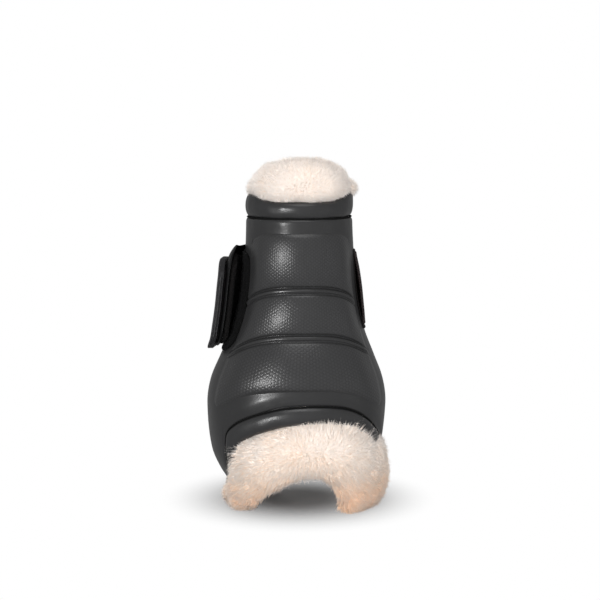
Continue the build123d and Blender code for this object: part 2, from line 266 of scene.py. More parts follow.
def corner(angle, start, end, radius):
    """Rounded corner: 0 up to start, then falling by radius at end."""
    t = np.clip((np.abs(angle) - start) / (end - start), 0, 1)
    return radius * (1 - np.sqrt(np.maximum(1 - t * t, 0)))


def panel_lines(angle):
    """Heights of the panel's bottom edge, lower rib, upper rib and top edge."""
    bottom = PANEL_BOTTOM - 43 * drop(angle) + corner(angle, 50, PANEL_ANGLE, 7)
    lower = LOWER_RIB - 31 * drop(angle)
    upper = UPPER_RIB - 26 * drop(angle)
    top = PANEL_TOP - 3 * drop(angle) - corner(angle, 32, PANEL_ANGLE, 13)
    return bottom, lower, upper, top


# ---------------------------------------------------------------- mesh helpers
def mesh_object(name, vertices, faces, uv=None, masks=None, tints=None):
    """Mesh from millimetre points on the leg's axis, moved into the row frame in metres.

    uv and masks hold one value per vertex, tints one material index per face.
    """
    points = (np.asarray(vertices, float).reshape(-1, 3) + LEG_AXIS) * MM
    faces = np.asarray(faces, np.int32)
    sides = faces.shape[1]
    mesh = bpy.data.meshes.new(name)
    mesh.vertices.add(len(points))
    mesh.vertices.foreach_set("co", points.astype(np.float32).ravel())
    mesh.loops.add(faces.size)
    mesh.loops.foreach_set("vertex_index", faces.ravel())
    mesh.polygons.add(len(faces))
    mesh.polygons.foreach_set("loop_start", np.arange(0, faces.size, sides, dtype=np.int32))
    mesh.polygons.foreach_set("loop_total", np.full(len(faces), sides, np.int32))
    mesh.polygons.foreach_set("use_smooth", np.full(len(faces), True))
    if tints is not None:
        mesh.polygons.foreach_set("material_index", np.asarray(tints, np.int32))
    if uv is not None:
        layer = mesh.uv_layers.new(name="surface")
        layer.data.foreach_set("uv", np.asarray(uv, np.float32).reshape(-1, 2)[faces.ravel()].ravel())
    for key, values in (masks or {}).items():
        attribute = mesh.attributes.new(key, "FLOAT", "POINT")
        attribute.data.foreach_set("value", np.asarray(values, np.float32).ravel())
    mesh.update()
    if tints is None:
        turned = bmesh.new()
        turned.from_mesh(mesh)
        bmesh.ops.recalc_face_normals(turned, faces=turned.faces)
        turned.to_mesh(mesh)
        turned.free()
    return new_object(name, mesh)


def new_object(name, data):
    made = bpy.data.objects.new(name, data)
    bpy.context.scene.collection.objects.link(made)
    return made


def grid_faces(rows, columns, closed_columns=False, first=0):
    """Quads of a grid of points, optionally closed round its columns."""
    i = np.arange(rows - 1)
    j = np.arange(columns if closed_columns else columns - 1)
    a, b = np.meshgrid(i, j, indexing="ij")
    b2 = (b + 1) % columns
    quads = np.stack((a * columns + b, (a + 1) * columns + b, (a + 1) * columns + b2, a * columns + b2), -1)
    return quads.reshape(-1, 4) + first


def slab(outer, inner):
    """Closed solid between two grids of the same size: vertices and quads."""
    rows, columns = outer.shape[:2]
    top = grid_faces(rows, columns)
    bottom = grid_faces(rows, columns, first=rows * columns)[:, ::-1]
    index = np.arange(rows * columns).reshape(rows, columns)
    rim = np.concatenate((index[0, :-1], index[:-1, -1], index[-1, :0:-1], index[:0:-1, 0]))
    after = np.roll(rim, -1)
    walls = np.stack((after, rim, rim + rows * columns, after + rows * columns), -1)
    return np.concatenate((outer.reshape(-1, 3), inner.reshape(-1, 3))), np.concatenate((top, bottom, walls))


def ring_mesh(rings, first=0):
    """Closed solid through a run of rings of points, its two ends closed by rungs of quads."""
    rows, sides = rings.shape[:2]
    i = np.arange(sides // 2 - 1)
    rungs = np.stack((i, i + 1, sides - 2 - i, sides - 1 - i), -1) + first
    walls = grid_faces(rows, sides, closed_columns=True, first=first)
    faces = np.concatenate((walls, rungs, rungs[:, ::-1] + (rows - 1) * sides))
    return rings.reshape(-1, 3), faces


def ring_object(name, runs):
    """One mesh object of several closed solids, each a run of rings."""
    vertices = []
    faces = []
    first = 0
    for rings in runs:
        points, quads = ring_mesh(rings, first)
        vertices.append(points)
        faces.append(quads)
        first += len(points)
    return mesh_object(name, np.concatenate(vertices), np.concatenate(faces))


def tube_rings(path, radius, sides):
    """Rings of a round tube along a path of points; radius may vary along it."""
    path = np.asarray(path, float)
    radius = np.broadcast_to(radius, len(path))
    along = unit(np.gradient(path, axis=0))
    side = unit(np.cross(along, (0.3, 0.2, 0.93)), 1e-6)
    up = np.cross(side, along)
    turn = np.arange(sides) * 2 * math.pi / sides
    ring = side[:, None] * np.cos(turn)[None, :, None] + up[:, None] * np.sin(turn)[None, :, None]
    return path[:, None] + ring * radius[:, None, None]


def denser_ends(low, high, count, power=1.6):
    """Run of values from low to high, closer together near both ends."""
    t = np.linspace(-1, 1, count)
    bent = np.sign(t) * (1 - (1 - np.abs(t)) ** power)
    return (low + high) / 2 + (high - low) / 2 * bent


def ripple(*coords, seed=0, scale=10.0, terms=9):
    """Smooth pseudo-random field of the given coordinates, about -1 to 1."""
    rng = np.random.default_rng(SEED + seed)
    total = 0.0
    for _ in range(terms):
        direction = rng.normal(size=len(coords))
        phase = rng.uniform(0, 2 * math.pi)
        wave = sum(c * d for c, d in zip(coords, direction)) / scale
        total = total + np.sin(wave * 2.2 + phase)
    return total / math.sqrt(terms) / 1.5


# ---------------------------------------------------------------- materials
def material(name, color, roughness, specular=0.5, sheen=0.0, sheen_tint=(1, 1, 1), sheen_roughness=0.4):
    """Principled material with plain numbers on its own sockets; returns the material, tree and shader."""
    made = bpy.data.materials.new(name)
    made.use_nodes = True
    shader = made.node_tree.nodes["Principled BSDF"]
    shader.inputs["Base Color"].default_value = (*color, 1)
    shader.inputs["Roughness"].default_value = roughness
    shader.inputs["Specular IOR Level"].default_value = specular
    shader.inputs["Sheen Weight"].default_value = sheen
    shader.inputs["Sheen Roughness"].default_value = sheen_roughness
    shader.inputs["Sheen Tint"].default_value = (*sheen_tint, 1)
    return made, made.node_tree, shader


def node(tree, kind, **values):
    """New node, with each value set on the input of that name or else as a property."""
    made = tree.nodes.new(kind)
    for key, value in values.items():
        if key in made.inputs:
            made.inputs[key].default_value = value
        else:
            setattr(made, key, value)
    return made


def math_node(tree, operation, *values):
    """Maths on sockets or plain numbers."""
    made = node(tree, "ShaderNodeMath", operation=operation)
    for socket, value in zip(made.inputs, values):
        if hasattr(value, "is_output"):
            tree.links.new(value, socket)
        else:
            socket.default_value = value
    return made.outputs[0]


def mapped(tree, low, high, value, to_low, to_high):
    """Value, moved from the range low to high into the range to_low to to_high."""
    ends = {"From Min": low, "From Max": high, "To Min": to_low, "To Max": to_high}
    made = node(tree, "ShaderNodeMapRange", **ends)
    tree.links.new(value, made.inputs["Value"])
    return made.outputs[0]


def texture(tree, kind, output, **values):
    """Procedural texture over the piece's own coordinates in metres."""
    made = node(tree, kind, **values)
    tree.links.new(node(tree, "ShaderNodeTexCoord").outputs["Object"], made.inputs["Vector"])
    return made.outputs[output]


def noise(tree, scale, detail=3.0, roughness=0.55):
    return texture(tree, "ShaderNodeTexNoise", "Fac", Scale=scale, Detail=detail, Roughness=roughness)


def grains(tree, scale):
    return texture(tree, "ShaderNodeTexVoronoi", "Distance", Scale=scale)


def bump(tree, shader, layers):
    """Chain of bumps: (height socket, distance in metres, strength)."""
    normal = None
    for height, distance, strength in layers:
        made = node(tree, "ShaderNodeBump", Distance=distance, Strength=strength)
        tree.links.new(height, made.inputs["Height"])
        if normal is not None:
            tree.links.new(normal, made.inputs["Normal"])
        normal = made.outputs["Normal"]
    tree.links.new(normal, shader.inputs["Normal"])


def colour_mix(tree, factor, low, high):
    """Mix of two colours; the first may be a socket. Inputs 6 and 7 and output 2 are the node's colours."""
    made = node(tree, "ShaderNodeMix", data_type="RGBA")
    if hasattr(low, "is_output"):
        tree.links.new(low, made.inputs[6])
    else:
        made.inputs[6].default_value = (*low, 1)
    made.inputs[7].default_value = (*high, 1)
    tree.links.new(factor, made.inputs["Factor"])
    return made.outputs[2]


def vary_roughness(tree, shader, low, high, scale, detail=3):
    """Patches of finer and coarser gloss."""
    tree.links.new(mapped(tree, 0.3, 0.7, noise(tree, scale, detail), low, high), shader.inputs["Roughness"])


def vary_colour(tree, shader, color, scale, detail):
    """Patches a little darker and lighter than a colour."""
    dark = tuple(c * 0.88 for c in color)
    light = tuple(c * 1.15 for c in color)
    tree.links.new(colour_mix(tree, noise(tree, scale, detail), dark, light), shader.inputs["Base Color"])


HEX_PITCH = 2.3


def hex_height(tree):
    """Honeycomb relief: the sum of three waves at 60 degrees over the surface's own coordinates."""
    uv = node(tree, "ShaderNodeUVMap", uv_map="surface").outputs[0]
    total = None
    reach = 4 * math.pi / math.sqrt(3) / (HEX_PITCH * MM)
    for degrees in (0, 60, 120):
        turn = math.radians(degrees)
        dot = node(tree, "ShaderNodeVectorMath", operation="DOT_PRODUCT")
        tree.links.new(uv, dot.inputs[0])
        dot.inputs[1].default_value = (math.cos(turn) * reach, math.sin(turn) * reach, 0)
        wave = math_node(tree, "COSINE", dot.outputs["Value"])
        total = wave if total is None else math_node(tree, "ADD", total, wave)
    return mapped(tree, -1.5, 0.9, total, 0.0, 1.0)


def shell_material():
    made, tree, shader = material("shell_tpu", (0.022, 0.022, 0.0225), 0.3, specular=0.4)
    panel = node(tree, "ShaderNodeAttribute", attribute_name="panel").outputs["Fac"]
    honeycomb = math_node(tree, "MULTIPLY", hex_height(tree), panel)
    wave = noise(tree, 45, 3)
    mottle = noise(tree, 330, 2)
    bump(tree, shader, ((wave, 0.0009, 0.3), (mottle, 0.0003, 0.2), (grains(tree, 1400), 0.00008, 0.2),
                        (honeycomb, 0.0003, 0.25)))
    vary_roughness(tree, shader, 0.29, 0.35, 160, 4)
    plain = colour_mix(tree, noise(tree, 28, 3), (0.017, 0.017, 0.0175), (0.0215, 0.0215, 0.022))
    # Raised honeycomb cells are lighter than the grooves between them: painted shade in the grooves.
    groove_shade = mapped(tree, 0, 1, honeycomb, 0.0, 0.5)
    tree.links.new(colour_mix(tree, groove_shade, plain, (0.032, 0.032, 0.033)), shader.inputs["Base Color"])
    return made


def leather_material(name, color, roughness=0.4, specular=0.5):
    made, tree, shader = material(name, color, roughness, specular=specular)
    bump(tree, shader, ((noise(tree, 90, 4), 0.0006, 0.4), (grains(tree, 1100), 0.00012, 0.4)))
    vary_roughness(tree, shader, roughness - 0.06, roughness + 0.06, 140)
    vary_colour(tree, shader, color, 60, 3)
    return made


def webbing_material():
    """Dark elastic: fine ribs across the strap and a woven grain along it."""
    made, tree, shader = material("elastic_webbing", (0.012, 0.008, 0.008), 0.75, sheen=0.1,
                                  sheen_tint=(0.35, 0.25, 0.25))
    uv = node(tree, "ShaderNodeUVMap", uv_map="surface").outputs[0]
    split = node(tree, "ShaderNodeSeparateXYZ")
    tree.links.new(uv, split.inputs[0])
    ribs = math_node(tree, "SINE", math_node(tree, "MULTIPLY", split.outputs[0], 2 * math.pi / 0.0012))
    cords = math_node(tree, "SINE", math_node(tree, "MULTIPLY", split.outputs[1], 2 * math.pi / 0.0018))
    weave = math_node(tree, "MULTIPLY", ribs, cords)
    bump(tree, shader, ((weave, 0.00025, 0.8), (ribs, 0.0002, 0.5), (noise(tree, 900, 3), 0.0002, 0.5)))
    # The brownish black is the yarn's own colour; the sunken weave kept near black is painted shade in the
    # weave.
    colour = colour_mix(tree, mapped(tree, -1, 1, weave, 0, 1), (0.004, 0.003, 0.003), (0.018, 0.011, 0.011))
    tree.links.new(colour, shader.inputs["Base Color"])
    return made


def fuzzy_material(name, low, high, scale=1500):
    """Hook or loop tape: a dense short pile."""
    made, tree, shader = material(name, low, 0.95, specular=0.05, sheen=0.04, sheen_tint=(0.3, 0.3, 0.32))
    pile = noise(tree, scale, 3, 0.7)
    clumps = noise(tree, 260, 3)
    bump(tree, shader, ((clumps, 0.0008, 0.6), (pile, 0.0006, 1.0)))
    # The pile is darker where its bump sinks and paler where it stands up: painted shade in the pile.
    pile_shade = mapped(tree, 0.35, 0.7, pile, 0, 1)
    tree.links.new(colour_mix(tree, pile_shade, low, high), shader.inputs["Base Color"])
    return made


def rubber_material(name, color):
    made, tree, shader = material(name, color, 0.45, specular=0.3)
    bump(tree, shader, ((noise(tree, 700, 3), 0.00015, 0.4),))
    vary_roughness(tree, shader, 0.38, 0.52, 200)
    vary_colour(tree, shader, color, 80, 2)
    return made


def thread_material():
    made, tree, shader = material("thread", (0.004, 0.004, 0.004), 0.8, specular=0.1)
    bump(tree, shader, ((noise(tree, 2500, 2), 0.0001, 0.6),))
    return made


# Sheepskin colours, from the palest tips to the deep tan that the lower sheepskin uses as painted shade near
# the floor
FLEECE_TINTS = (
    (0.95, 0.87, 0.81),
    (0.94, 0.84, 0.76),
    (0.93, 0.79, 0.68),
    (0.93, 0.73, 0.58),
    (0.93, 0.67, 0.48),
    (0.90, 0.59, 0.39),
)


def fleece_materials():
    """One plain fibre material per tint: the colour changes from strand to strand, not along the surface."""
    made = []
    for number, tint in enumerate(FLEECE_TINTS):
        fibre, _, _ = material(f"fleece_{number}", tint, 0.85, specular=0.15, sheen=0.5,
                               sheen_tint=(1.0, 0.97, 0.94), sheen_roughness=0.5)
        made.append(fibre)
    return made


def fleece_core_material():
    made, tree, shader = material("fleece_core", FLEECE_TINTS[1], 0.95, specular=0.1, sheen=0.3)
    pile = noise(tree, 420, 4, 0.7)
    bump(tree, shader, ((noise(tree, 110, 3), 0.002, 0.6), (pile, 0.001, 0.8)))
    # The core is warmer and darker where its pile bump sinks, paler where it stands up: painted shade.
    pile_shade = mapped(tree, 0.3, 0.7, pile, 0, 1)
    colour = colour_mix(tree, pile_shade, (0.86, 0.75, 0.63), (0.93, 0.86, 0.78))
    tree.links.new(colour, shader.inputs["Base Color"])
    return made


SHELL = shell_material()
COLLAR = leather_material("collar_leather", (0.019, 0.019, 0.0195), 0.34, specular=0.45)
FLAP = leather_material("flap_leather", (0.003, 0.003, 0.0032), 0.45, specular=0.15)
BAR = leather_material("bar_leather", (0.006, 0.005, 0.005), 0.5, specular=0.3)
WEBBING = webbing_material()
LOOPS = fuzzy_material("loop_pile", (0.0015, 0.0015, 0.0015), (0.005, 0.005, 0.005))
HOOKS = fuzzy_material("hook_tape", (0.002, 0.002, 0.002), (0.012, 0.011, 0.011), 1900)
RUBBER = rubber_material("tab_rubber", (0.005, 0.005, 0.0054))
RIM = rubber_material("tab_rubber_rim", (0.026, 0.0255, 0.027))
FOAM = fuzzy_material("foam", (0.02, 0.02, 0.022), (0.04, 0.04, 0.042), 900)
GEL = leather_material("gel_pad", (0.05, 0.05, 0.056), 0.35)
THREAD = thread_material()
FLEECE = fleece_materials()
CORE = fleece_core_material()


def finish_piece(obj, body, slot_name, mat, *nodes):
    """Gives a piece its material or list of them and its body (None if it is blended), and hides the CAD
    nodes that it stands for. slot_name is not used."""
    for one in mat if isinstance(mat, list) else [mat]:
        obj.data.materials.append(one)
    if body:
        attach(obj, body)
    if nodes:
        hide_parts(*nodes)
    return obj


# ---------------------------------------------------------------- shell
def shell_relief(angle, height):
    """How far the moulded skin stands out of the plain leg shape, and how much it is grained panel."""
    bottom, lower, upper, top = panel_lines(angle)
    sides = smoothstep(PANEL_ANGLE + 3, PANEL_ANGLE - 4, np.abs(angle))
    panel = sides * smoothstep(-0.8, 1.0, height - bottom) * smoothstep(-0.7, 0.8, top - height)
    relief = PANEL_STEP * panel
    pillow_sides = smoothstep(PANEL_ANGLE, PANEL_ANGLE - 26, np.abs(angle))
    for low, high in ((bottom, lower), (lower, upper), (upper, top)):
        v = np.clip((height - low) / np.maximum(high - low, 1), 0, 1)
        relief = relief + PILLOW_HEIGHT * (4 * v * (1 - v)) ** 0.75 * pillow_sides
    rib_ends = smoothstep(PANEL_ANGLE + 4, PANEL_ANGLE - 10, np.abs(angle))
    grain = panel
    for line in (lower, upper):
        off = height - line
        ridge = RIB_HEIGHT * np.exp(-((off / 1.05) ** 2))
        groove_over = GROOVE_DEPTH * np.exp(-(((off - 2.2) / 0.85) ** 2))
        groove_under = 0.7 * GROOVE_DEPTH * np.exp(-(((off + 2.2) / 0.9) ** 2))
        relief = relief + (ridge - groove_over - groove_under) * rib_ends
        grain = grain * (1 - np.exp(-((off / 3.6) ** 4)))
    relief = relief - LOWER_BAND_TUCK * smoothstep(10.0, 0.0, height - bottom_seam(angle))
    return relief, grain


def shell_rows(angle):
    """Heights of the grid's rows at each angle: close together along the ribs and the panel's edges."""
    fine = np.arange(-3.7, 3.8, 0.35)
    near_rib = np.concatenate((np.arange(-5.2, -3.9, 0.9), fine, np.arange(4.0, 5.3, 0.9)))
    near_edge = np.array((-3.0, -2.0, -1.2, -0.6, 0.0, 0.6, 1.2, 2.0, 3.2))
    bottom, lower, upper, top = panel_lines(angle)
    low = bottom_seam(angle) + SEAM_CLEARANCE
    high = top_seam(angle) - SEAM_CLEARANCE
    bands = [low + np.linspace(0, 1, 16)[:-1, None] ** 1.4 * (bottom - 3.0 - low)]
    marks = ((bottom, near_edge), (lower, near_rib), (upper, near_rib), (top, near_edge))
    for (line, offsets), (after, after_offsets) in zip(marks, marks[1:]):
        bands.append(line + offsets[:, None])
        start = line + offsets[-1]
        end = after + after_offsets[0]
        bands.append(start + np.linspace(0, 1, 14)[1:-1, None] * (end - start))
    bands.append(top + near_edge[:, None])
    start = top + near_edge[-1]
    bands.append(start + (1 - (1 - np.linspace(0, 1, 9)[1:, None]) ** 1.6) * (high - start))
    return np.concatenate(bands)


def outer_shell():
    """The moulded skin: raised grained panel in three pillows with two ribs, between smooth margins."""
    share = denser_ends(-1, 1, 375, 1.1)[None]
    height = shell_rows(share[0] * front_angle(120.0, BINDING_WIDTH))
    angle = share * front_angle(height, BINDING_WIDTH)
    relief, grain = shell_relief(angle, height)
    edge = np.minimum(height - height[0], height[-1] - height)
    tuck = 1.3 * np.exp(-edge / 0.7)
    dents = 0.35 * ripple(angle / 9, height / 16, seed=1, scale=2.5) * (1 - 0.6 * grain)
    below_top = np.exp(-np.abs(height - top_seam(angle) + 4) / 3)
    creases = below_top + np.exp(-np.abs(height - bottom_seam(angle) - 4) / 3)
    puckers = 0.22 * creases * ripple(angle / 2.2, height / 9, seed=2, scale=2.0)
    outer = skin(angle, height, relief - tuck + dents + puckers)
    inner = skin(angle, height, SHELL_INSIDE)
    uv = np.stack((np.radians(angle) * SKIN_RADIUS, height), -1).reshape(-1, 2) * MM
    vertices, faces = slab(outer, inner)
    masks = {"panel": np.concatenate((grain.ravel(), 0 * grain.ravel()))}
    made = mesh_object("outer_shell_skin", vertices, faces, uv=np.concatenate((uv, uv)), masks=masks)
    return finish_piece(made, "boot", "shell_tpu", SHELL, "outer_shell")


def padded_layer(name, slot_name, mat, outside, inside, node_name, reach=None, heights=None):
    """Plain closed layer of the wrap: between the seams, or over the given angle and height limits."""
    share = np.linspace(-1, 1, 121)[None]
    low, high = heights or (bottom_seam(share * WING_ANGLE) + 1.2, top_seam(share * WING_ANGLE) - 1.2)
    height = low + np.linspace(0, 1, 60)[:, None] * (high - low) + 0 * share
    angle = share * (reach or front_angle(height, BINDING_WIDTH))
    vertices, faces = slab(skin(angle, height, outside(angle, height)), skin(angle, height, inside))
    made = finish_piece(mesh_object(name, vertices, faces), "boot", slot_name, mat, node_name)


def padding():
    """The foam between skin and lining, and the tendon pad let into it behind the raised panel."""
    def foam_outside(angle, height):
        beside = smoothstep(62, 66, np.abs(angle))
        above = smoothstep(198, 201, height)
        below = smoothstep(103, 100, height)
        outside = np.maximum(np.maximum(beside, above), below)
        return PAD_DEPTH[1] - 0.3 + (FOAM_DEPTH[0] - PAD_DEPTH[1] + 0.3) * outside
    padded_layer("foam_layer", "foam", FOAM, foam_outside, FOAM_DEPTH[1], "foam_core")
    padded_layer("tendon_pad_layer", "gel_pad", GEL, lambda angle, height: PAD_DEPTH[0], PAD_DEPTH[1],
                 "tendon_pad", PAD_ANGLE, (PAD_LOW, PAD_HIGH))


# ---------------------------------------------------------------- padded rolls and bindings
ROLL_SIDES = 32


def rolled_ring(share, low, high, outer, inner, stations=STATIONS, power=2.3, cap=0.03, wave=0.0):
    """Closed, rounded section swept round the boot. All limits are arrays along share; cap is the part of
    the run over which each end rounds off."""
    radial, vertical = round_section(ROLL_SIDES, 2 / power)
    size = rounded_end((1 - np.abs(share)) / cap)[:, None]
    limits = (low, high, outer, inner)
    low, high, outer, inner = (np.broadcast_to(one, share.shape)[:, None] for one in limits)
    height = (low + high) / 2 + (high - low) / 2 * size * vertical
    angle = share[:, None] * front_angle(height, 0.3, stations)
    grow = (outer + inner) / 2 + (outer - inner) / 2 * size * radial
    if wave:
        grow = grow + wave * roll_wrinkles(angle, height) * (radial > 0)
    return skin(angle, height, grow, stations)


def roll_wrinkles(angle, height):
    return ripple(angle / 7, height / 5, seed=5, scale=1.6)


def top_collar():
    """Padded smooth roll over the shell's top edge, deeper at the sides."""
    share = denser_ends(-1, 1, 241, 1.3)
    angle = share * WING_ANGLE
    low = top_seam(angle) - 0.1
    high = low + 11.5 + 5.0 * smoothstep(30, 80, np.abs(angle)) + 4.0 * smoothstep(45, 85, angle)
    pinch = 0.25 * ripple(share * 60, seed=21, scale=1.5)
    rings = rolled_ring(share, low + pinch, high, 0.4, -7.6, wave=0.25)
    made = ring_object("top_collar_roll_padded", [rings])
    return finish_piece(made, "boot", "collar_leather", COLLAR, "top_collar_roll")


BODY_RADIUS = 60.0
BOTTOM_ROLL_WIDTH = 12.5


def bottom_collar():
    """Padded smooth roll along the lower seam, square to it even where it falls steeply."""
    angle, height = seam_path(420)
    inside = np.abs(angle) < front_angle(height, 0.5)
    angle = angle[inside]
    height = height[inside]
    flat = np.stack((np.radians(angle) * BODY_RADIUS, height), -1)
    along = unit(np.gradient(flat, axis=0))
    for _ in range(12):
        along[1:-1] = (along[:-2] + along[1:-1] * 2 + along[2:]) / 4
    along = unit(along)
    down = np.stack((along[:, 1], -along[:, 0]), -1)
    travelled = distance_along(flat)
    size = rounded_end(np.minimum(travelled, travelled[-1] - travelled) / 4)[:, None]
    radial, across = round_section(ROLL_SIDES, 0.87)
    width = np.minimum(BOTTOM_ROLL_WIDTH, (height - FLOOR - 1) * 0.9)[:, None]
    offset = 0.1 + width / 2 * (1 + size * across)
    point = flat[:, None] + down[:, None] * offset[..., None]
    ring_angle = np.degrees(point[..., 0] / BODY_RADIUS)
    ring_height = np.maximum(point[..., 1], FLOOR + 1)
    pucker = 0.3 * roll_wrinkles(ring_angle, ring_height) * (radial > 0)
    grow = -3.1 + 4.4 * size * radial + pucker
    made = ring_object("bottom_collar_roll_padded", [skin(ring_angle, ring_height, grow)])
    return finish_piece(made, "boot", "collar_leather", COLLAR, "bottom_collar_roll")


def binding(side, name, node_name):
    """Leather folded round one wing's front edge, from the lower to the upper seam."""
    part = denser_ends(0, 1, 80)
    low = bottom_seam(side * WING_ANGLE) + 1.0
    high = top_seam(side * WING_ANGLE) - 1.0
    height = (low + (high - low) * part)[:, None]
    across, deep = round_section(20, 0.75)
    size = rounded_end(np.minimum(part, 1 - part) / 0.03)[:, None]
    half = BINDING_WIDTH / 2 + 0.6
    inset = half - 0.4 - half * size * across
    pinch = 0.25 * ripple(height / 3, across, seed=31, scale=1.5)
    grow = -3.5 + (4.4 * size + pinch) * deep
    rings = skin(side * front_angle(height, inset), height + 0 * inset, grow)
    finish_piece(ring_object(name, [rings]), "boot", "collar_leather", COLLAR, node_name)


# ---------------------------------------------------------------- closure
# Leg shapes with the hollows filled out under the elastic and under the closure
STRAP_STATIONS = filled_out(STRAP_FILL)
CLOSURE_STATIONS = filled_out(CLOSURE_FILL)


def angle_at_y(y, height, grow=0.0, stations=STATIONS):
    """Angle (positive side) where the leg shape stands at this depth."""
    _, back, front, _ = np.moveaxis(between(stations, height), -1, 0)
    depth = np.where(y < 0, back, front) + grow
    return np.degrees(np.arccos(np.clip(-y / depth, -1, 1)))


def angle_at_x(x, height, grow=0.0, stations=STATIONS):
    """Angle on the front half where the leg shape stands at this x; negative on the left."""
    half_width, _, _, middle = np.moveaxis(between(stations, height), -1, 0)
    turn = 180 - np.degrees(np.arcsin(np.clip(np.abs(x - middle) / (half_width + grow), 0, 1)))
    return turn * np.where(x < 0, -1.0, 1.0)


def rounded_half_height(run, length, half, start_radius, end_radius):
    """Half height of a strap's outline along its run, with rounded corners at both ends."""
    near = np.clip(start_radius - run, 0, start_radius)
    far = np.clip(end_radius - (length - run), 0, end_radius)
    cut = start_radius - np.sqrt(np.maximum(start_radius**2 - near**2, 0))
    cut = cut + end_radius - np.sqrt(np.maximum(end_radius**2 - far**2, 0))
    return half - cut


def strap_sheet(name, start, end, low, high, depths, radii, edge=0.9, columns=41, rows=81, lift=None,
                thick=None, stations=STATIONS, slope=0.0):
    """Closed strap between two angle functions of height, with rounded corners and a rounded rim.

    radii: of the corners at its start and its end. lift and thick: what is added to its middle depth and its
    half thickness, as functions of angle and height. slope: how much its top edge falls over its first 30 mm.
    """
    outer, inner = depths
    middle = (low + high) / 2
    half = (high - low) / 2
    u = denser_ends(0, 1, rows, 1.9)[:, None]
    v = denser_ends(-1, 1, columns, 1.7)[None]
    length = abs(math.radians(float(end(middle) - start(middle)))) * STRAP_RADIUS
    run = u * length
    reach = rounded_half_height(run, length, half, *radii)
    height = middle + reach * v - slope * np.clip(run / 30, 0, 1) * (0.5 + 0.5 * v)
    angle = start(height) + (end(height) - start(height)) * u
    rim = np.minimum(np.minimum(run, length - run), reach * (1 - np.abs(v)))
    centre = (outer + inner) / 2
    half_thick = (outer - inner) / 2 * rounded_end(rim / edge, 0.002)
    if lift is not None:
        centre = centre + lift(angle, height)
    if thick is not None:
        half_thick = half_thick + thick(angle, height) * np.clip(rim / edge, 0, 1)
    vertices, faces = slab(skin(angle, height, centre + half_thick, stations),
                           skin(angle, height, centre - half_thick, stations))
    uv = np.stack((np.radians(angle) * STRAP_RADIUS, height), -1).reshape(-1, 2) * MM
    return mesh_object(name, vertices, faces, uv=np.concatenate((uv, uv)))


def loop_panel():
    """Loop pile on the left wing, under the closure."""
    made = strap_sheet("loop_panel_pile", lambda z: -angle_at_y(FLAP_REAR_Y - 1.5, z),
                       lambda z: angle_at_x(STRAP_END_X - 2, z), FLAP_LOW - 1, FLAP_HIGH - 3,
                       LOOP_PANEL, (12, 3), edge=1.2,
                       thick=lambda angle, z: 0.35 * ripple(angle / 3, z / 2, seed=41, scale=1.3))
    finish_piece(made, "boot", "loop_pile", LOOPS, "loop_panel")


def elastic_band():
    """The wide elastic from its sewn end on the right wing across the open front to the closure flap."""
    def lift(angle, height):
        return -0.6 * smoothstep(92, 76, angle) + 2.0 * smoothstep(165, 205, angle)
    made = strap_sheet("elastic_strap_band", lambda z: angle_at_y(ANCHOR_Y + 0.2, z),
                       lambda z: 360 + angle_at_x(STRAP_END_X, z), STRAP_LOW, STRAP_HIGH,
                       ELASTIC, (0.4, 0.4), edge=0.5, columns=61, rows=161, lift=lift,
                       stations=STRAP_STATIONS)
    finish_piece(made, None, "elastic_webbing", WEBBING, "elastic_anchor_panel", "elastic_strap")
    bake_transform(made)


def anchor_bar():
    """Rounded bar sewn over the elastic's end, its two ends standing out above and below."""
    low = STRAP_LOW - 3.0
    high = STRAP_HIGH + 3.0
    made = strap_sheet("strap_anchor_bar_sewn", lambda z: angle_at_y(ANCHOR_Y, z),
                       lambda z: angle_at_y(ANCHOR_Y + ANCHOR_BAR_WIDTH, z), low, high,
                       ANCHOR_BAR, (1.6, 1.6), edge=0.7, columns=61, rows=15,
                       thick=lambda angle, z: 0.6 * smoothstep(3.4, 1.0, np.minimum(z - low, high - z)))
    finish_piece(made, "boot", "bar_leather", BAR, "strap_anchor_bar")


def closure_edge(y, grow):
    """Rear or front limit of a closure piece at a depth y, as an angle at each height."""
    return lambda height: -angle_at_y(y, height, grow, CLOSURE_STATIONS)


def closure_front(x, grow):
    """Front limit of a closure piece at x, as an angle at each height."""
    return lambda height: angle_at_x(x, height, grow, CLOSURE_STATIONS)


def closure_flap():
    """The wide inner flap over its thick hook pad, its top edge curled in over the pad."""
    def curl(angle, height):
        return -4.5 * np.clip((height - FLAP_HIGH + 8) / 10, 0, 1) ** 1.7
    made = strap_sheet("closure_flap", closure_edge(FLAP_REAR_Y, 8), closure_front(FLAP_START_X, 8),
                       FLAP_LOW, FLAP_HIGH + 3, INNER_FLAP, (15, 2), edge=0.8, columns=61, rows=121,
                       lift=curl, thick=lambda angle, z: 0.1 * ripple(angle / 8, z / 8, seed=51, scale=1.8),
                       stations=CLOSURE_STATIONS, slope=5.0)
    finish_piece(made, "strap", "flap_leather", FLAP, "inner_closure_flap")

    def pile_bump(angle, z):
        return 0.3 * ripple(angle / 2, z / 1.5, seed=52, scale=1.2)
    hooks = strap_sheet("closure_flap_hooks", closure_edge(FLAP_REAR_Y + 2, 5),
                        closure_front(STRAP_END_X - 2, 5), FLAP_LOW + 1.5, FLAP_HIGH - 2,
                        (INNER_FLAP[1] - 0.1, INNER_FLAP[1] - 4.4), (13, 2),
                        edge=1.4, thick=pile_bump, stations=CLOSURE_STATIONS, slope=7.0)
    finish_piece(hooks, "strap", "hook_tape", HOOKS, "inner_hook_pad")


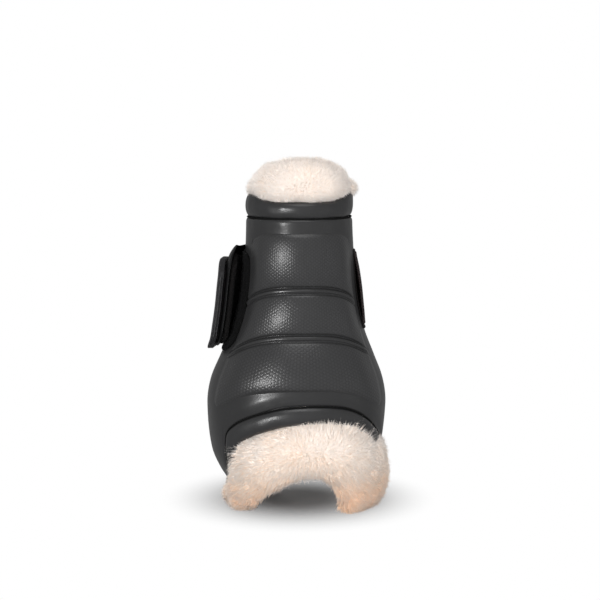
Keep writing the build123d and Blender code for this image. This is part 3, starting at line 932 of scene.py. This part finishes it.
def rim_rings(start, end, low, high, radii, centre, section):
    """Closed loop round a strap's outline, swept with a section of (outward mm, grow mm) points."""
    middle = (low + high) / 2
    length = abs(math.radians(float(end(middle) - start(middle)))) * STRAP_RADIUS
    half = (high - low) / 2
    start_radius, end_radius = radii
    corners = ((start_radius, start_radius, 180, 270), (length - end_radius, end_radius, 270, 360),
               (length - end_radius, end_radius, 0, 90), (start_radius, start_radius, 90, 180))
    path = []
    for number, (run, radius, first, last) in enumerate(corners):
        level = -half + radius if number < 2 else half - radius
        for degrees in np.linspace(first, last, 18):
            turn = math.radians(degrees)
            path.append((run, level, radius, math.cos(turn), math.sin(turn)))
    path = np.array(path)
    around = [path[0]]
    for before, after in zip(path, np.roll(path, -1, axis=0)):
        gap = np.hypot(*(after[:2] + after[2] * after[3:] - before[:2] - before[2] * before[3:]))
        pieces = max(1, int(gap / 3))
        around += [before + (after - before) * k / pieces for k in range(1, pieces + 1)]
    around = np.array(around[:-1])
    grow = section[:, 1][None] + centre
    size = around[:, 2:3] + section[:, 0][None]
    run = around[:, 0:1] + size * around[:, 3:4]
    height = middle + around[:, 1:2] + size * around[:, 4:5]
    angle = start(height) + (end(height) - start(height)) * run / length
    return skin(angle, height, grow, CLOSURE_STATIONS)


def looped(name, rings):
    """Mesh object of rings that close on themselves both ways."""
    rows, sides = rings.shape[:2]
    a, b = np.meshgrid(np.arange(rows), np.arange(sides), indexing="ij")
    a2 = (a + 1) % rows
    b2 = (b + 1) % sides
    quads = np.stack((a * sides + b, a2 * sides + b, a2 * sides + b2, a * sides + b2), -1).reshape(-1, 4)
    return mesh_object(name, rings, quads)


def closure_tab():
    """The stiff moulded outer tab: a sunken face inside a thick rim with two grooves round its edge."""
    start = closure_edge(TAB_REAR_Y, 13)
    end = closure_edge(TAB_START_Y, 13)
    outer, inner = CLOSURE_TAB
    centre = (outer + inner) / 2
    face = strap_sheet("closure_tab_face", start, end, TAB_LOW + 1.5, TAB_HIGH - 1.5,
                       (outer - 0.9, inner + 0.3), (11, 4), edge=0.8, columns=61, rows=61,
                       stations=CLOSURE_STATIONS)
    finish_piece(face, "tab", "tab_rubber", RUBBER, "closure_tab")
    half = (outer - inner) / 2
    grooves = -0.05 - 0.45 * (0.5 + 0.5 * np.cos(np.linspace(-3, 3, 35) * 2 * math.pi)) ** 3
    side = np.column_stack((grooves, np.linspace(0.85, -0.85, 35) * half))
    over = ((-3.2, half - 1.0), (-2.6, half - 0.2), (-1.6, half), (-0.5, half * 0.95))
    under = ((-0.5, -half * 0.95), (-1.6, -half), (-3.2, -half))
    section = np.concatenate((over, side, under))
    rim = looped("closure_tab_rim", rim_rings(start, end, TAB_LOW, TAB_HIGH, (12, 5), centre, section))
    finish_piece(rim, "tab", "tab_rubber", RIM)
    hooks = strap_sheet("closure_tab_hooks", closure_edge(TAB_REAR_Y + 2, 10),
                        closure_edge(OUTER_ELASTIC_END_Y - 0.5, 10), TAB_LOW + 4, TAB_HIGH - 4,
                        OUTER_HOOKS, (8, 2), edge=0.9,
                        thick=lambda angle, z: 0.1 * ripple(angle / 2, z / 1.5, seed=53, scale=1.2),
                        stations=CLOSURE_STATIONS)
    finish_piece(hooks, "tab", "hook_tape", HOOKS, "outer_hook_pad")
    elastic = strap_sheet("closure_tab_elastic", closure_edge(OUTER_ELASTIC_END_Y, 10),
                          closure_front(OUTER_ELASTIC_START_X, 10), TAB_LOW + 6, TAB_HIGH - 6,
                          OUTER_ELASTIC, (0.5, 0.5), edge=0.5, columns=61, rows=41, stations=CLOSURE_STATIONS)
    finish_piece(elastic, "tab", "elastic_webbing", WEBBING, "outer_elastic")


# ---------------------------------------------------------------- thread
SEAM_CORD = 0.55


def stitches(name, body, node_name, paths, pitch=3.4, length=2.5, thickness=0.3):
    """Short threads that dip at both needle holes, along paths of (point, outward) samples."""
    runs = []
    for points, outward in paths:
        travelled = distance_along(points)
        for start in np.arange(pitch / 2, travelled[-1] - length, pitch):
            at = start + np.linspace(0, length, 7)
            path = np.stack([np.interp(at, travelled, points[:, k]) for k in range(3)], -1)
            out = np.stack([np.interp(at, travelled, outward[:, k]) for k in range(3)], -1)
            rise = np.sin(np.linspace(0, math.pi, 7))[:, None] * 0.45 - 0.35
            radius = thickness * np.array((0.5, 0.85, 1, 1, 1, 0.85, 0.5))
            runs.append(tube_rings(path + out * rise, radius, 6))
    finish_piece(ring_object(name, runs), body, "thread", THREAD, node_name)


def seam_cord(name, node_name, path):
    """Sunken, slightly wavy cord that closes the seam between the shell and a padded roll."""
    points, outward = path
    sway = 0.25 * ripple(*points.T, seed=81, scale=5)[:, None]
    rings = tube_rings(points + outward * sway, SEAM_CORD, 8)
    finish_piece(ring_object(name, [rings]), "boot", "thread", THREAD, node_name)


def surface_line(angle, height, grow, stations=STATIONS):
    """Samples along a line on the leg shape, with the outward direction at each."""
    points = skin(angle, height, grow, stations)
    outward = skin(angle, height, np.asarray(grow) + 1.0, stations) - points
    return points, outward


def all_stitching():
    angle = np.linspace(-1, 1, 700) * front_angle(TOP_SEAM, BINDING_WIDTH + 1)
    seams = {"top": surface_line(angle, top_seam(angle), -1.0)}
    angle, height = SEAM_RUN
    inside = np.abs(angle) < front_angle(height, BINDING_WIDTH + 1)
    seams["bottom"] = surface_line(angle[inside], height[inside], -1.0)
    for place, seam in seams.items():
        stitches(f"{place}_seam_thread", "boot", f"{place}_collar_stitching", [seam], thickness=0.22)
        seam_cord(f"{place}_seam_cord", f"{place}_collar_stitching", seam)

    height = np.linspace(STRAP_LOW + 2, STRAP_HIGH - 2, 60)
    bar = [surface_line(angle_at_y(ANCHOR_Y + off, height), height, ELASTIC[0] - 0.6, STRAP_STATIONS)
           for off in (1.4, 4.6)]
    at_flap = closure_front(FLAP_START_X - 3, 9)(height)
    flap = [surface_line(at_flap, height, INNER_FLAP[0], CLOSURE_STATIONS)]
    height = np.linspace(TAB_LOW + 8, TAB_HIGH - 8, 60)
    at_tab = closure_edge(TAB_START_Y - 4, 14)(height)
    tab = [surface_line(at_tab, height, CLOSURE_TAB[0] - 0.9, CLOSURE_STATIONS)]
    for name, body, node_name, paths in (("anchor_bar", "boot", "strap_anchor", bar),
                                         ("closure_flap", "strap", "flap", flap),
                                         ("closure_tab", "tab", "tab", tab)):
        stitches(f"{name}_thread", body, f"{node_name}_stitching", paths, 2.8, 2.0, 0.28)


# ---------------------------------------------------------------- sheepskin
BOTTOM_FLEECE_ANGLE = 145.0
ARCH_HALF_LEFT = 49.0
ARCH_HALF_RIGHT = 39.0
ARCH_HEIGHT = 29.0


def scatter(rings, count, rng, weight):
    """Random points over closed rings, by area and weight, and the surface's unit normals there."""
    next_column = np.roll(rings, -1, axis=1)
    a = rings[:-1]
    b = rings[1:]
    c = next_column[1:]
    d = next_column[:-1]
    normal = np.cross(c - a, d - b)
    area = np.linalg.norm(normal, axis=-1)
    chance = area * weight[:-1]
    picked = rng.choice(area.size, count, p=(chance / chance.sum()).ravel())
    i, j = np.unravel_index(picked, area.shape)
    s = rng.random(count)[:, None]
    t = rng.random(count)[:, None]
    points = (a[i, j] * (1 - s) + b[i, j] * s) * (1 - t) + (d[i, j] * (1 - s) + c[i, j] * s) * t
    return points, unit(normal[i, j])


def tuft_leaders(roots, tips, size, rng):
    """For each strand, the tip and the root of the strand that leads its tuft."""
    leaders = rng.choice(len(roots), max(4, int(len(roots) / size)), replace=False)
    tree = KDTree(len(leaders))
    for number, leader in enumerate(leaders):
        tree.insert(roots[leader], number)
    tree.balance()
    leader = leaders[np.array([tree.find(root)[1] for root in roots])]
    return tips[leader], roots[leader]


def wandering(points, scale, seed):
    """Smooth random direction field, so that neighbouring hairs lie the same way."""
    return np.stack([ripple(*points.T, seed=seed + k, scale=scale) for k in range(3)], -1)


STRANDS_PER_PIECE = 19500


def strands(name, roots, middles, tips, radius, tints):
    """Tapered three-sided hairs: one mesh of closed strands, with a material per root and tip half; the root
    halves' deeper tints are painted shade down in the pile.
    """
    along = unit(tips - roots)
    side = unit(np.cross(along, (0.31, 0.22, 0.92)), 1e-6)
    up = np.cross(along, side)
    ring = []
    for place, size in ((roots, 1.0), (middles, 0.85)):
        for k in range(3):
            turn = 2 * math.pi * k / 3
            ring.append(place + (side * math.cos(turn) + up * math.sin(turn)) * (radius * size)[:, None])
    vertices = np.stack(ring + [tips], 1).reshape(-1, 3)
    pattern = [(0, 2, 1)]
    for k in range(3):
        n = (k + 1) % 3
        pattern += [(k, n, n + 3), (k, n + 3, k + 3)]
    pattern += [(k + 3, (k + 1) % 3 + 3, 6) for k in range(3)]
    faces = (np.arange(len(roots))[:, None, None] * 7 + np.array(pattern)[None]).reshape(-1, 3)
    root_tints, tip_tints = tints
    index = np.concatenate((np.repeat(root_tints[:, None], 7, 1), np.repeat(tip_tints[:, None], 3, 1)), 1)
    return mesh_object(name, vertices, faces, tints=index.ravel())


def parted(points, centre_angle, parting_height, reach, spread):
    """Direction hairs lie in: away from a parting, up above it, down below it and to the sides beside it."""
    turn = np.arctan2(points[:, 0], -points[:, 1])
    sideways = np.stack((np.cos(turn), np.sin(turn), np.zeros(len(turn))), -1)
    beside = np.clip((np.degrees(turn) - centre_angle) / 35, -1, 1) * spread
    along = sideways * beside[:, None]
    along[:, 2] = 2 * smoothstep(parting_height - reach, parting_height + reach, points[:, 2]) - 1
    return along


def pile(name, surface, weight, count, seed, flow, tint, length, radius, swirl, scale, close,
         lift=0.85, stray=0.3, jitter=0.14, tuft=24):
    """Hairs over a core surface: they rise from it and then bend over.

    weight: how dense they are on each face. flow(points): the direction they lie in.
    tint(roots, tips, rng): the tints of roots and tips. swirl and scale: the strength and size of their
    wandering. close: how tightly tufts gather. lift: how far they rise before bending over.
    stray and jitter: how far single hairs part from their neighbours. tuft: hairs in each tuft.
    """
    rng = np.random.default_rng(SEED + seed)
    roots, normals = scatter(surface, count, rng, weight)
    lengths = length * rng.uniform(0.6, 1.15, count) * (1 + 0.12 * ripple(*roots.T, seed=seed + 9, scale=6))
    lying = flow(roots) + swirl * wandering(roots, scale, seed)
    lying += rng.normal(0, stray, (count, 3))
    lying = unit(lying - (lying * normals).sum(1)[:, None] * normals, 0.1)
    apart = rng.normal(0, jitter, (count, 3))
    rise = normals * (lift * rng.uniform(0.8, 1.2, (count, 1)))
    half = (lengths * 0.5)[:, None]
    middles = roots + unit(rise + 0.5 * lying + 0.7 * apart) * half
    tips = middles + unit(0.45 * rise + lying + apart) * half
    leader_tips, leader_roots = tuft_leaders(roots, tips, tuft, rng)
    pull = (close * rng.uniform(0.2, 1.0, count))[:, None]
    middles = middles + (leader_roots + (leader_tips - leader_roots) * 0.5 - middles) * pull * 0.3
    tips = tips + (leader_tips - tips) * pull
    for place in (roots, middles, tips):
        place[:, 2] = np.maximum(place[:, 2], FLOOR + 0.15 + rng.random(count) * 0.3)
    # Roots get deeper tints than tips: painted shade down in the pile.
    root_tints, tip_tints = tint(roots, tips, rng)
    radii = radius * rng.uniform(0.8, 1.2, count)
    for part, start in enumerate(range(0, count, STRANDS_PER_PIECE)):
        chosen = slice(start, start + STRANDS_PER_PIECE)
        made = strands(f"{name}_{part + 1}", roots[chosen], middles[chosen], tips[chosen], radii[chosen],
                       (root_tints[chosen], tip_tints[chosen]))
        finish_piece(made, "boot", "sheepskin", FLEECE)


def lumps(points, amount, scale, seed):
    """Moves a grid of points in and out along the line from the ring's own middle line."""
    middle = points.mean(axis=1, keepdims=True)
    away = points - middle
    size = np.linalg.norm(away, axis=-1, keepdims=True)
    lump = ripple(*np.moveaxis(points, -1, 0), seed=seed, scale=scale)[..., None]
    return points + away / np.maximum(size, 1e-6) * lump * amount * np.minimum(size / 4, 1)


def pick_tints(level, rng, spread=0.8):
    """Tint numbers 0 (palest) to 5 (deepest tan) from a level, dithered from hair to hair."""
    return np.clip(np.round(level + rng.normal(0, spread, len(level))), 0, 5).astype(int)


# Height of the upper sheepskin's hair at angles from the back
TOP_FLEECE_EDGE = np.array((
    (0, 250), (20, 249.6), (43, 246.8), (63, 241.5), (74, 237), (90, 233.5), (180, 232.5),
))


def fleece_core(name, rings, node_name):
    """The padded form under a ring of hair."""
    core = finish_piece(ring_object(name, [rings]), "boot", "sheepskin", CORE, node_name)


def top_fleece():
    """Sheepskin that stands out over the top roll, highest at the back."""
    share = denser_ends(-1, 1, 201, 1.3)
    angle = np.abs(share * WING_ANGLE)
    high = np.interp(angle, *TOP_FLEECE_EDGE.T) - 4.5
    low = top_seam(angle) + 15.0 + 2.5 * smoothstep(30, 80, angle)
    outer = -2.8 - 2.4 * smoothstep(35, 85, angle) + 5.5 * smoothstep(72, 96, share * WING_ANGLE)
    rings = lumps(rolled_ring(share, low, high, outer, -12.5, cap=0.05), 0.5, 9.0, 61)
    fleece_core("top_fleece_core", rings, "top_fleece_collar")

    def tint(roots, tips, rng):
        crease = 0.9 * ripple(*roots.T, seed=71, scale=9)
        low_down = 0.8 * smoothstep(236, 222, roots[:, 2])
        return (pick_tints(1.9 + crease + low_down, rng),
                pick_tints(0.3 + 0.8 * crease + 0.5 * low_down, rng, 0.6))

    pile("top_fleece_pile", rings, facing_out(rings), 58500, 100,
         lambda points: parted(points, 0, 231, 9, 0.8), tint,
         length=7.4, radius=0.2, swirl=0.35, scale=14.0, close=0.15)


def facing_out(rings):
    """Weight of each grid face for hairs: most on the outside and the top, fewer towards the leg."""
    away = unit(rings - rings.mean(axis=1, keepdims=True), 1e-6)
    side = (away * unit(rings * (1, 1, 0), 1)).sum(-1)
    return 0.35 + 0.65 * smoothstep(-0.5, 0.1, side)


# Height of the lower sheepskin's hair at angles round the boot, negative on the left
BOTTOM_FLEECE_EDGE = np.array((
    (-180, 12), (-110, 16), (-80, 20), (-66, 24), (-61, 28), (-58, 36), (-55, 50), (-52, 59), (-44, 60.5),
    (-34, 63), (-15, 67), (0, 71.6), (15, 72.5), (37, 71), (51, 62.5), (76, 52), (95, 38), (115, 24),
    (150, 14), (180, 12),
))


def fleece_limits(angle):
    """Lower and upper edge of the lower sheepskin's hair at each angle."""
    x = BODY_RADIUS * np.sin(np.radians(angle)) + 2.5
    left = ARCH_HEIGHT * (1 - (np.abs(x) / ARCH_HALF_LEFT) ** 1.6)
    right = ARCH_HEIGHT * (1 - (np.abs(x) / ARCH_HALF_RIGHT) ** 3.4)
    arch = np.maximum(np.where(x < 0, left, right), 0) * (np.abs(angle) < 90)
    return FLOOR + arch, np.interp(angle, *BOTTOM_FLEECE_EDGE.T)


def bottom_fleece():
    """Sheepskin ring under the lower band: two lobes with an arch between them at the back."""
    share = denser_ends(-1, 1, 261, 1.2)
    angle = share * BOTTOM_FLEECE_ANGLE
    low, high = fleece_limits(angle)
    on_floor = smoothstep(FLOOR + 6, FLOOR, low)
    low = low + 5.0 - 2.6 * on_floor
    high = np.maximum(high - 4.0, low + 4)
    outer = -2.0 - 5.0 * smoothstep(-48, -80, angle) - 4.6 * smoothstep(10, 60, angle)
    rings = lumps(rolled_ring(share, low, high, outer, -14.0, FLEECE_STATIONS, 2.2, 0.05), 0.9, 15.0, 62)
    rings[..., 2] = np.maximum(rings[..., 2], FLOOR + 1.0)
    fleece_core("bottom_fleece_core", rings, "bottom_fleece_collar")

    def tint(roots, tips, rng):
        # Hairs near the floor and hairs whose tips hang down get deeper tan tints: painted shade under the
        # lobes.
        floor_shade = 4.6 * smoothstep(40, 8, tips[:, 2])
        under = 1.0 * smoothstep(0.0, -3.0, tips[:, 2] - roots[:, 2])
        crease = 0.7 * ripple(*roots.T, seed=72, scale=9)
        return (pick_tints(2.4 + 0.6 * floor_shade + crease, rng, 0.8),
                pick_tints(0.9 + 0.7 * floor_shade + under + 0.6 * crease, rng, 0.7))

    pile("bottom_fleece_pile", rings, facing_out(rings), 97500, 200,
         lambda points: parted(points, 6, 52, 14, 1.2), tint,
         length=10.5, radius=0.24, swirl=0.55, scale=17.0, close=0.2)


def lining():
    """Sheepskin against the leg: a backing with short pile on its inner side."""
    share = np.linspace(-1, 1, 161)[None]
    low = np.maximum(bottom_seam(share * WING_ANGLE) - 17, FLOOR + 3)
    high = top_seam(share * WING_ANGLE) + 12
    height = low + np.linspace(0, 1, 80)[:, None] * (high - low)
    angle = share * front_angle(height, 4.0)
    rise = 0.4 * ripple(angle / 6, height / 8, seed=63, scale=1.6)
    inner = skin(angle, height, LINING_BACKING[1] + rise)
    vertices, faces = slab(skin(angle, height, LINING_BACKING[0]), inner)
    core = mesh_object("lining_backing", vertices, faces)
    finish_piece(core, "boot", "sheepskin", CORE, "sheepskin_lining")

    def tint(roots, tips, rng):
        crease = 0.8 * ripple(*roots.T, seed=73, scale=10)
        return pick_tints(2.2 + crease, rng), pick_tints(0.9 + 0.7 * crease, rng)

    # The open sheet gets one more column, and no hairs on the faces that close it into a ring
    surface = np.concatenate((inner, inner[:, -1:] + (0, 0, -0.001)), axis=1)
    weight = np.ones(surface.shape[:2])
    weight[:, -2:] = 0
    pile("lining_pile", surface, weight, 36000, 300,
         lambda points: np.tile((0.0, 0.0, -1.0), (len(points), 1)), tint,
         length=5.0, radius=0.3, swirl=0.7, scale=12.0, close=0.25, lift=0.7, jitter=0.2, tuft=30)


outer_shell()
padding()
top_collar()
bottom_collar()
binding(-1, "front_binding_left_leather", "front_binding_left")
binding(1, "front_binding_right_leather", "front_binding_right")
loop_panel()
elastic_band()
anchor_bar()
closure_flap()
closure_tab()
all_stitching()
top_fleece()
bottom_fleece()
lining()

# ---------------------------------------------------------------- camera, light and floor
CAMERA_DISTANCE = 1.5
CAMERA_AZIMUTH = -3.0
CAMERA_ELEVATION = 9.0
LENS_SENSOR = 36.0
MM_PER_PIXEL = 0.70
LOOK_AT_SIDE = 0.5
LOOK_AT_HEIGHT = 148.0
IMAGE_SIZE = 600


def camera():
    look_at = Vector((LEG_AXIS + (LOOK_AT_SIDE, 0, LOOK_AT_HEIGHT)) * MM)
    turn = math.radians(CAMERA_AZIMUTH)
    tilt = math.radians(CAMERA_ELEVATION)
    back = Vector((math.sin(turn) * math.cos(tilt), -math.cos(turn) * math.cos(tilt), math.sin(tilt)))
    data = bpy.data.cameras.new("camera")
    data.sensor_width = LENS_SENSOR
    data.lens = LENS_SENSOR * CAMERA_DISTANCE / (IMAGE_SIZE * MM_PER_PIXEL * MM)
    made = new_object("camera", data)
    made.location = look_at + back * CAMERA_DISTANCE
    made.rotation_euler = (-back).to_track_quat("-Z", "Y").to_euler()
    bpy.context.scene.camera = made


# Place, target, size and power of each square area light in metres and watts, and whether it shows in gloss
LIGHTS = {
    "overhead": ((0.0, -0.5, 1.5), (0, 0.1, 0), 1.0, 9.0, True),
    "key": ((-0.92, -1.12, 0.25), (0, 0, 0.13), 0.2, 12.0, True),
    "fill": ((0.0, -1.65, 0.05), (0, 0, 0.1), 1.9, 31.0, False),
    "side": ((1.3, -0.6, 0.05), (0, 0, 0.05), 0.8, 11.0, False),
    "front": ((-0.5, 1.6, 0.7), (0, 0, 0.12), 1.2, 26.0, False),
}
SKY_LEVEL = 0.28
# Radius over which the dark floor disc, a painted shadow, fades out
FLOOR_RADIUS = 0.1
FLOOR_CORNERS = 96
# How far behind the leg's axis the shadow is centred
FLOOR_SETBACK = 6.0


def area_light(name, place, towards, size, power, in_gloss):
    data = bpy.data.lights.new(name, "AREA")
    data.energy = power
    data.size = size
    made = new_object(name, data)
    made.location = place
    made.rotation_euler = (Vector(towards) - Vector(place)).to_track_quat("-Z", "Y").to_euler()
    made.visible_glossy = in_gloss


def soft_sky():
    """Plain white background with a dimmer sky to light the scene."""
    world = bpy.data.worlds.new("studio")
    world.use_nodes = True
    tree = world.node_tree
    seen = tree.nodes.new("ShaderNodeLightPath").outputs["Is Camera Ray"]
    tree.links.new(mapped(tree, 0, 1, seen, SKY_LEVEL, 1.0), tree.nodes["Background"].inputs["Strength"])
    tree.nodes["Background"].inputs["Color"].default_value = (1, 1, 1, 1)
    bpy.context.scene.world = world


def shadow_floor_material():
    """Dark grey disc under the boot that paints its shadow, fading out into the plain background; the lamps'
    own shadows fall on it too.
    """
    made, tree, shader = material("floor", (0.17, 0.17, 0.17), 0.9, specular=0.05)
    away = node(tree, "ShaderNodeVectorMath", operation="LENGTH")
    tree.links.new(node(tree, "ShaderNodeTexCoord").outputs["Object"], away.inputs[0])
    fade = mapped(tree, 0.015, FLOOR_RADIUS, away.outputs["Value"], 1.0, 0.0)
    fade.node.interpolation_type = "SMOOTHSTEP"
    tree.links.new(fade, shader.inputs["Alpha"])
    return made


def studio():
    soft_sky()
    for name, values in LIGHTS.items():
        area_light(name, *values)
    turn = np.arange(FLOOR_CORNERS) * 2 * math.pi / FLOOR_CORNERS
    edge = [(FLOOR_RADIUS * math.cos(t), FLOOR_RADIUS * math.sin(t), 0) for t in turn]
    disc = bpy.data.meshes.new("floor")
    disc.from_pydata(edge, [], [range(FLOOR_CORNERS)])
    disc.materials.append(shadow_floor_material())
    made = new_object("floor", disc)
    made.location = (LEG_AXIS[0] * MM, (LEG_AXIS[1] + FLOOR_SETBACK) * MM, 0)
    bpy.context.scene.view_settings.view_transform = "Standard"


camera()
studio()
